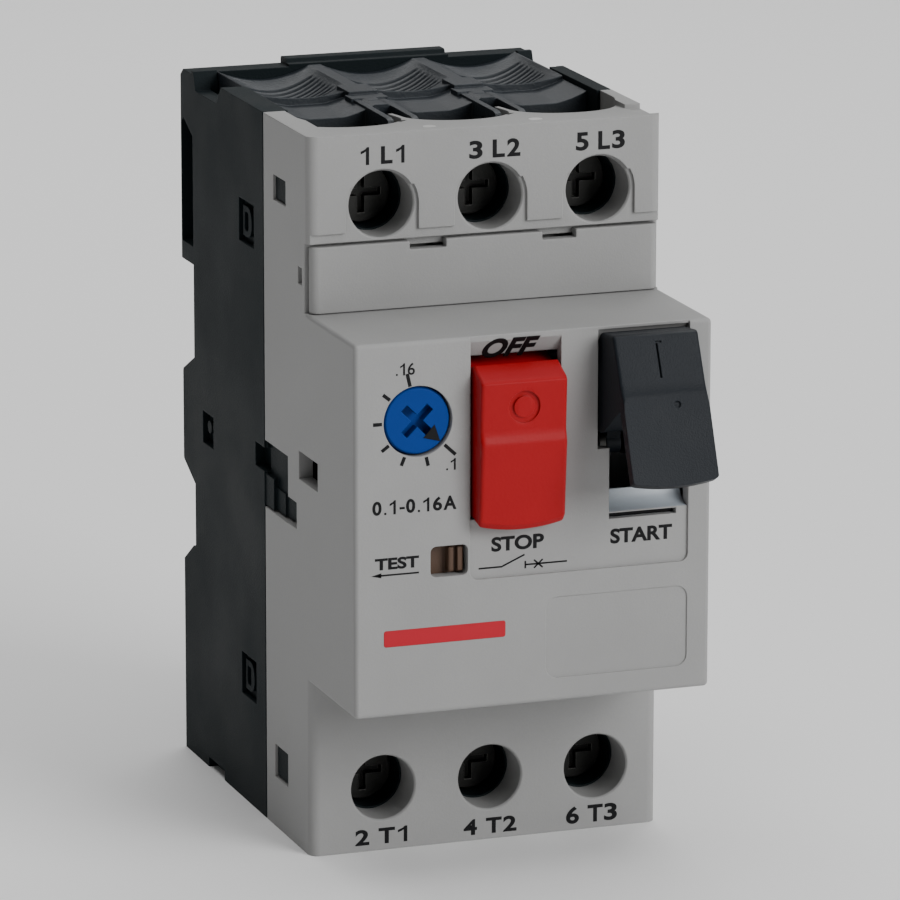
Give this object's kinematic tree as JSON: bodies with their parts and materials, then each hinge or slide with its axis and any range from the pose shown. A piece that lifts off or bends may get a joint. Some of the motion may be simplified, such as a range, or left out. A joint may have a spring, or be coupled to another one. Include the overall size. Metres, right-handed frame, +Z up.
{
  "type": "motor protection circuit breaker",
  "caption": "Rail-mounted motor protection breaker with rocker push-buttons, current setting dial, test slide, trip mechanism and screw clamp terminals.",
  "frame": {"origin": "centre of the rail seat: mid-width of the case, on the plane where the rail flanges bear, at the height of the rail's centre line", "axes": "+Z up along the height of the case, front (operating face) towards -Y, +X to the right seen from the front"},
  "size_m": [0.045, 0.079, 0.0894],
  "materials": {
    "black_plastic": "fine-grain moulded",
    "grey_plastic": "fine-grain moulded",
    "start_black": "fine-grain moulded",
    "stop_red": "satin moulded",
    "dial_blue": "satin moulded",
    "test_brown": "moulded",
    "spring_steel": "drawn wire",
    "plated_steel": "zinc plated",
    "screw_steel": "plated, slightly dull",
    "brass": "tinned",
    "copper": "bare copper",
    "bimetal": "rolled",
    "cream_plastic": "moulded",
    "fibre_board": "pressed fibre",
    "carrier_black": "moulded"
  },
  "bodies": {
    "housing": {"base_housing": "black_plastic", "upper_wire_guide": "black_plastic", "lower_wire_guide": "black_plastic", "terminal_shrouds": "black_plastic", "front_housing": "grey_plastic", "accessory_cover": "grey_plastic", "button_pivot_pin": "spring_steel", "start_spring": "spring_steel", "stop_spring": "spring_steel", "test_spring": "spring_steel", "striker_springs": "spring_steel", "rail_clip_spring": "spring_steel", "latch_pin": "spring_steel", "mechanism_frame": "plated_steel", "magnet_yokes": "plated_steel", "arc_splitter_plates": "plated_steel", "line_terminals": "brass", "load_terminals": "brass", "line_fixed_contacts": "copper", "load_fixed_contacts": "copper", "magnet_coils": "copper", "bimetal_strips": "bimetal", "heater_windings": "bimetal", "coil_bobbins": "cream_plastic", "arc_chute_cheeks": "fibre_board"},
    "start": {"start_button": "start_black"},
    "stop": {"stop_button": "stop_red"},
    "dial": {"setting_dial": "dial_blue"},
    "adjust": {"adjust_lever": "brass"},
    "test": {"test_slide": "test_brown"},
    "carrier": {"contact_carrier": "carrier_black", "contact_bridges": "copper", "contact_springs": "spring_steel", "drive_link_pin": "spring_steel"},
    "link": {"drive_link": "plated_steel"},
    "trip": {"trip_bar": "cream_plastic"},
    "latch": {"latch_hook": "plated_steel"},
    "striker_a": {"striker_1": "plated_steel"},
    "striker_b": {"striker_2": "plated_steel"},
    "striker_c": {"striker_3": "plated_steel"},
    "thermal": {"thermal_slide": "cream_plastic"},
    "differential": {"differential_slide": "cream_plastic"},
    "clip": {"rail_clip": "black_plastic"},
    "line_clamping_1": {"line_screw_1": "screw_steel", "line_clamp_1": "screw_steel"},
    "line_clamping_2": {"line_screw_2": "screw_steel", "line_clamp_2": "screw_steel"},
    "line_clamping_3": {"line_screw_3": "screw_steel", "line_clamp_3": "screw_steel"},
    "load_clamping_1": {"load_screw_1": "screw_steel", "load_clamp_1": "screw_steel"},
    "load_clamping_2": {"load_screw_2": "screw_steel", "load_clamp_2": "screw_steel"},
    "load_clamping_3": {"load_screw_3": "screw_steel", "load_clamp_3": "screw_steel"}
  },
  "joints": [
    {"name": "start_press", "type": "hinge", "parent": "housing", "child": "start", "pos_m": [0, -0.0562, 0.01695], "axis": [1, 0, 0], "range_deg": [0, 24], "deforming": ["start_spring"]},
    {"name": "stop_rock", "type": "hinge", "parent": "housing", "child": "stop", "pos_m": [0, -0.0562, 0.01695], "axis": [1, 0, 0], "range_deg": [-14, 0], "deforming": ["stop_spring"]},
    {"name": "carrier_slide", "type": "slide", "parent": "housing", "child": "carrier", "axis": [0, 1, 0], "range_m": [0, 0.004]},
    {"name": "link_swing", "type": "hinge", "parent": "carrier", "child": "link", "pos_m": [0, -0.034, 0.00055], "axis": [1, 0, 0], "range_deg": [-6.3, 0]},
    {"name": "dial_turn", "type": "hinge", "parent": "housing", "child": "dial", "pos_m": [-0.0146, -0.0565, 0.01175], "axis": [0, 1, 0], "range_deg": [0, 225]},
    {"name": "adjust_rock", "type": "hinge", "parent": "housing", "child": "adjust", "pos_m": [-0.018, -0.0415, -0.00345], "axis": [0, 1, 0], "range_deg": [-4, 0]},
    {"name": "test_travel", "type": "slide", "parent": "housing", "child": "test", "axis": [-1, 0, 0], "range_m": [0, 0.0022], "stiffness_N_per_m": 120, "springref_m": -0.001, "deforming": ["test_spring"]},
    {"name": "trip_turn", "type": "hinge", "parent": "housing", "child": "trip", "pos_m": [0, -0.0355, 0.01105], "axis": [1, 0, 0], "range_deg": [0, 12]},
    {"name": "latch_turn", "type": "hinge", "parent": "housing", "child": "latch", "pos_m": [0, -0.0425, 0.00705], "axis": [1, 0, 0], "range_deg": [-10, 0]},
    {"name": "striker_1_travel", "type": "slide", "parent": "housing", "child": "striker_a", "axis": [0, -1, 0], "range_m": [0, 0.002], "stiffness_N_per_m": 60, "springref_m": -0.001},
    {"name": "striker_2_travel", "type": "slide", "parent": "housing", "child": "striker_b", "axis": [0, -1, 0], "range_m": [0, 0.002], "stiffness_N_per_m": 60, "springref_m": -0.001},
    {"name": "striker_3_travel", "type": "slide", "parent": "housing", "child": "striker_c", "axis": [0, -1, 0], "range_m": [0, 0.002], "stiffness_N_per_m": 60, "springref_m": -0.001},
    {"name": "thermal_travel", "type": "slide", "parent": "housing", "child": "thermal", "axis": [1, 0, 0], "range_m": [0, 0.0012]},
    {"name": "differential_travel", "type": "slide", "parent": "housing", "child": "differential", "axis": [1, 0, 0], "range_m": [0, 0.0012]},
    {"name": "clip_pull", "type": "slide", "parent": "housing", "child": "clip", "axis": [0, 0, -1], "range_m": [0, 0.003], "stiffness_N_per_m": 900, "springref_m": -0.002, "deforming": ["rail_clip_spring"]},
    {"name": "line_screw_1_drive", "type": "slide", "parent": "housing", "child": "line_clamping_1", "axis": [0, 1, 0], "range_m": [0, 0.005]},
    {"name": "line_screw_2_drive", "type": "slide", "parent": "housing", "child": "line_clamping_2", "axis": [0, 1, 0], "range_m": [0, 0.005]},
    {"name": "line_screw_3_drive", "type": "slide", "parent": "housing", "child": "line_clamping_3", "axis": [0, 1, 0], "range_m": [0, 0.005]},
    {"name": "load_screw_1_drive", "type": "slide", "parent": "housing", "child": "load_clamping_1", "axis": [0, 1, 0], "range_m": [0, 0.005]},
    {"name": "load_screw_2_drive", "type": "slide", "parent": "housing", "child": "load_clamping_2", "axis": [0, 1, 0], "range_m": [0, 0.005]},
    {"name": "load_screw_3_drive", "type": "slide", "parent": "housing", "child": "load_clamping_3", "axis": [0, 1, 0], "range_m": [0, 0.005]}
  ],
  "couplings": [
    {"joint": "start_press", "follows": "carrier_slide", "rad_per_m": 104.72},
    {"joint": "stop_rock", "follows": "carrier_slide", "rad_per_m": -61.087},
    {"joint": "link_swing", "follows": "carrier_slide", "rad_per_m": -27.489},
    {"joint": "adjust_rock", "follows": "dial_turn", "ratio": -0.017778},
    {"joint": "trip_turn", "follows": "test_travel", "rad_per_m": 95.2},
    {"joint": "latch_turn", "follows": "test_travel", "rad_per_m": -79.333},
    {"joint": "differential_travel", "follows": "thermal_travel", "ratio": 1}
  ]
}
